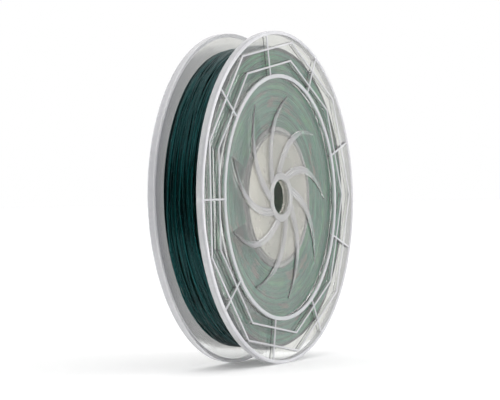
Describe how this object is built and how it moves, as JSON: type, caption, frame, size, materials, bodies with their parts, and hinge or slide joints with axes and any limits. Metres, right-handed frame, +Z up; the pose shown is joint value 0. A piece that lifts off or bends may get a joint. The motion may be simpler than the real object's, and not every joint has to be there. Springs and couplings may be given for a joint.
{
  "type": "fishing line spool",
  "caption": "Clear plastic flanged spool wound with dark green braided line; recessed end flanges, one of them ribbed, a hollow hub and a centre spindle hole.",
  "frame": {"origin": "on the spool's axis, halfway between the two flanges", "axes": "+Y along the spool's axis from the front flange to the rear flange, +Z up with the spool standing on its rims"},
  "size_m": [0.094, 0.0168, 0.094],
  "materials": {
    "clear_plastic": "clear, slightly hazy, polished",
    "line": "tightly wound braid, satin"
  },
  "bodies": {
    "root": {"front_flange": "clear_plastic", "rear_flange": "clear_plastic", "core_sleeve": "clear_plastic", "line_winding": "line"}
  },
  "joints": []
}
